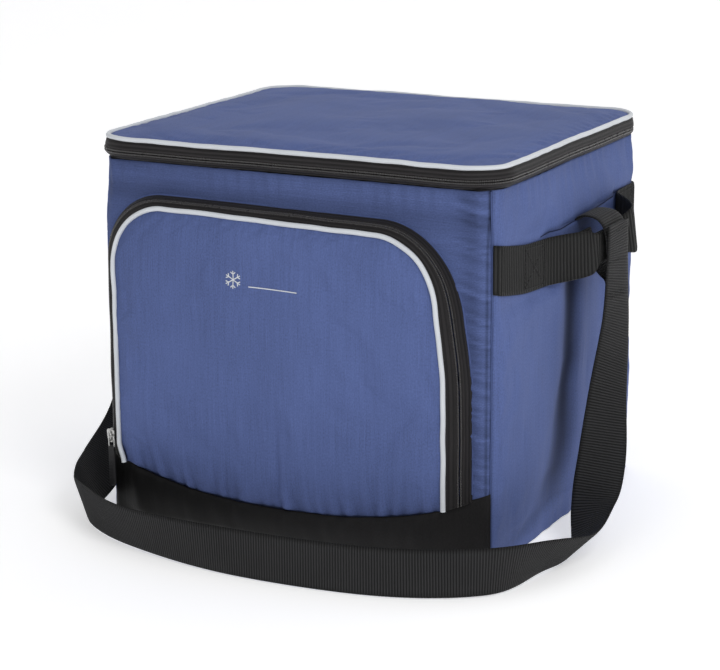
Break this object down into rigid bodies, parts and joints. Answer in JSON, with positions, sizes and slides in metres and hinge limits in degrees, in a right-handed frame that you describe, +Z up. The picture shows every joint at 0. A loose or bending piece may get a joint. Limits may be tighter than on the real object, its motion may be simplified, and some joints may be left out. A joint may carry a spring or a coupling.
{
  "type": "insulated cooler bag",
  "caption": "Soft-sided box cooler bag with a zip-round lid, a zipped front pocket, webbing side handles and a long shoulder strap lying in front of it.",
  "frame": {"origin": "on the floor, under the middle of the bag's body", "axes": "+X towards the bag's left hand as seen by someone facing its front, that is right in the front view; +Y to the back, so the front pocket faces -Y; +Z up"},
  "size_m": [0.4571, 0.394, 0.31],
  "materials": {
    "blue_fabric": "fine woven polyester with a slight sheen",
    "black_fabric": "plain black polyester",
    "foam": "closed-cell foam",
    "board": "smooth plastic board",
    "liner": "welded silver liner",
    "piping": "satin grey cord",
    "zip_tape": "black knitted tape",
    "zip_coil": "black nylon coil",
    "zip_metal": "bright zinc casting",
    "pull_rubber": "soft black moulding",
    "webbing": "ribbed black webbing"
  },
  "bodies": {
    "shell": {"front_panel": "blue_fabric", "back_panel": "blue_fabric", "side_panel_left": "blue_fabric", "side_panel_right": "blue_fabric", "base_panel": "black_fabric", "kick_band": "black_fabric", "base_board": "board", "base_foam": "foam", "front_foam": "foam", "back_foam": "foam", "side_foam_left": "foam", "side_foam_right": "foam", "liner_tub": "liner", "lid_zip_tape_lower": "zip_tape", "lid_zip_coil_lower": "zip_coil", "lid_hinge_tape": "black_fabric", "pocket_zip_tape_outer": "zip_tape", "pocket_zip_coil_outer": "zip_coil", "handle_end_front_left": "webbing", "handle_end_rear_left": "webbing", "handle_end_front_right": "webbing", "handle_end_rear_right": "webbing"},
    "lid": {"lid_panel": "blue_fabric", "lid_foam": "foam", "lid_liner": "liner", "lid_piping": "piping", "lid_zip_tape_upper": "zip_tape", "lid_zip_coil_upper": "zip_coil"},
    "lid_slider": {"lid_slider": "zip_metal"},
    "lid_pull": {"lid_pull_ring": "zip_metal", "lid_pull_tab": "pull_rubber"},
    "pocket_flap": {"pocket_panel": "blue_fabric", "pocket_lining": "black_fabric", "pocket_piping": "piping", "pocket_zip_tape_inner": "zip_tape", "pocket_zip_coil_inner": "zip_coil"},
    "pocket_slider": {"pocket_slider": "zip_metal"},
    "pocket_pull": {"pocket_pull_ring": "zip_metal", "pocket_pull_tab": "pull_rubber"},
    "handle_left": {"handle_loop_left": "webbing"},
    "handle_right": {"handle_loop_right": "webbing"},
    "strap_loops": {"strap_loop_left": "webbing", "strap_loop_right": "webbing"},
    "strap": {"shoulder_strap": "webbing"}
  },
  "joints": [
    {"name": "lid_hinge", "type": "hinge", "parent": "shell", "child": "lid", "pos_m": [0, 0.1503, 0.298], "axis": [-1, 0, 0], "range_deg": [0, 115]},
    {"name": "lid_slider_run", "type": "slide", "parent": "shell", "child": "lid_slider", "axis": [0, -1, 0], "range_m": [0, 0.205]},
    {"name": "lid_pull_swing", "type": "hinge", "parent": "lid_slider", "child": "lid_pull", "pos_m": [-0.1802, 0.1, 0.298], "axis": [0, 0, 1], "range_deg": [0, 170]},
    {"name": "pocket_fold", "type": "hinge", "parent": "shell", "child": "pocket_flap", "pos_m": [-0.005, -0.1612, 0.0574], "axis": [1, 0, 0], "range_deg": [0, 70]},
    {"name": "pocket_slider_run", "type": "slide", "parent": "shell", "child": "pocket_slider", "axis": [0, 0, 1], "range_m": [0, 0.128]},
    {"name": "pocket_pull_swing", "type": "hinge", "parent": "pocket_slider", "child": "pocket_pull", "pos_m": [-0.1572, -0.1535, 0.066], "axis": [0, 1, 0], "range_deg": [0, 170]},
    {"name": "strap_lift", "type": "slide", "parent": "shell", "child": "strap_loops", "axis": [0, 0, 1], "range_m": [0, 0.006]},
    {"name": "handle_right_tilt", "type": "hinge", "parent": "shell", "child": "handle_right", "pos_m": [0.1712, 0, 0.241], "axis": [0, -1, 0], "range_deg": [0, 8]},
    {"name": "handle_left_tilt", "type": "hinge", "parent": "shell", "child": "handle_left", "pos_m": [-0.1712, 0, 0.241], "axis": [0, 1, 0], "range_deg": [0, 8]},
    {"name": "strap_swing", "type": "hinge", "parent": "strap_loops", "child": "strap", "pos_m": [0, 0.015, 0.232], "axis": [-1, 0, 0], "range_deg": [0, 138]}
  ],
  "couplings": [
    {"joint": "handle_right_tilt", "follows": "strap_lift", "rad_per_m": 23.2},
    {"joint": "handle_left_tilt", "follows": "strap_lift", "rad_per_m": 23.2}
  ]
}
